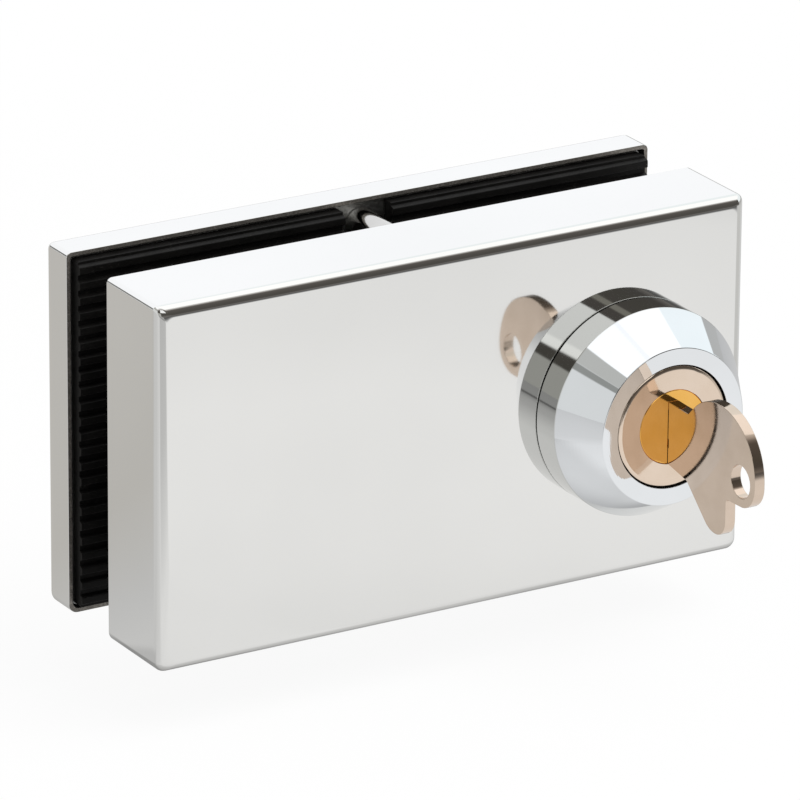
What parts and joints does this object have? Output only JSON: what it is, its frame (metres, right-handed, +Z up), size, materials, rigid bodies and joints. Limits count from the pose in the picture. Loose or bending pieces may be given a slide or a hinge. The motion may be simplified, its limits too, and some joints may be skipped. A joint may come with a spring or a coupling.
{
  "type": "patch lock",
  "caption": "Glass-door patch lock: polished box covers clamp the glass between ribbed gaskets, and a key in a collared cylinder drives a bolt out of the bottom edge.",
  "frame": {"origin": "mid length of the covers, middle of the glass, bottom edge of the lock", "axes": "+X along the lock towards the cylinder's end, -Y towards the key side, +Z up towards the top edge"},
  "size_m": [0.115, 0.0802, 0.065],
  "materials": {
    "polished_steel": "mirror-polished stainless sheet",
    "cast_alloy": "cast, fine satin",
    "gasket_rubber": "black moulded rubber",
    "screw_steel": "bright zinc-plated steel",
    "lid_steel": "plain cold-rolled steel",
    "cylinder_nickel": "nickel-plated brass, lathe turned",
    "plain_brass": "bare turned brass",
    "key_nickel": "bright nickel-plated brass",
    "bolt_steel": "ground steel",
    "collar_chrome": "bright chrome on turned steel"
  },
  "bodies": {
    "lock": {"front_cover": "polished_steel", "back_cover": "polished_steel", "lock_body": "cast_alloy", "clamp_plate": "cast_alloy", "front_gasket": "gasket_rubber", "back_gasket": "gasket_rubber", "clamp_screws": "screw_steel", "spacer_sleeves": "screw_steel", "cover_screws": "screw_steel", "case_lid": "lid_steel", "lid_screws": "screw_steel", "cylinder_body": "cylinder_nickel", "nut_washer": "lid_steel", "cylinder_nut": "plain_brass", "driver_pins": "plain_brass", "pin_springs": "screw_steel", "spring_cover": "plain_brass"},
    "plug": {"cylinder_plug": "plain_brass", "key_pins": "plain_brass", "plug_circlip": "lid_steel", "cam": "lid_steel", "crank_pin": "screw_steel", "cam_screw": "screw_steel"},
    "key": {"key": "key_nickel"},
    "bolt": {"bolt": "bolt_steel", "bolt_fork": "lid_steel", "fork_rivets": "screw_steel"},
    "collar": {"collar": "collar_chrome"}
  },
  "joints": [
    {"name": "key_turn", "type": "hinge", "parent": "lock", "child": "plug", "pos_m": [0.0344, -0.03, 0.03175], "axis": [0, 1, 0], "range_deg": [0, 90]},
    {"name": "key_slide", "type": "slide", "parent": "plug", "child": "key", "axis": [0, -1, 0], "range_m": [0, 0.024]},
    {"name": "bolt_slide", "type": "slide", "parent": "lock", "child": "bolt", "axis": [0, 0, -1], "range_m": [0, 0.01]},
    {"name": "collar_spin", "type": "hinge", "parent": "lock", "child": "collar", "pos_m": [0.0344, -0.03, 0.03175], "axis": [0, 1, 0], "continuous": true}
  ],
  "couplings": [
    {"joint": "bolt_slide", "follows": "key_turn", "m_per_rad": 0.006366}
  ]
}
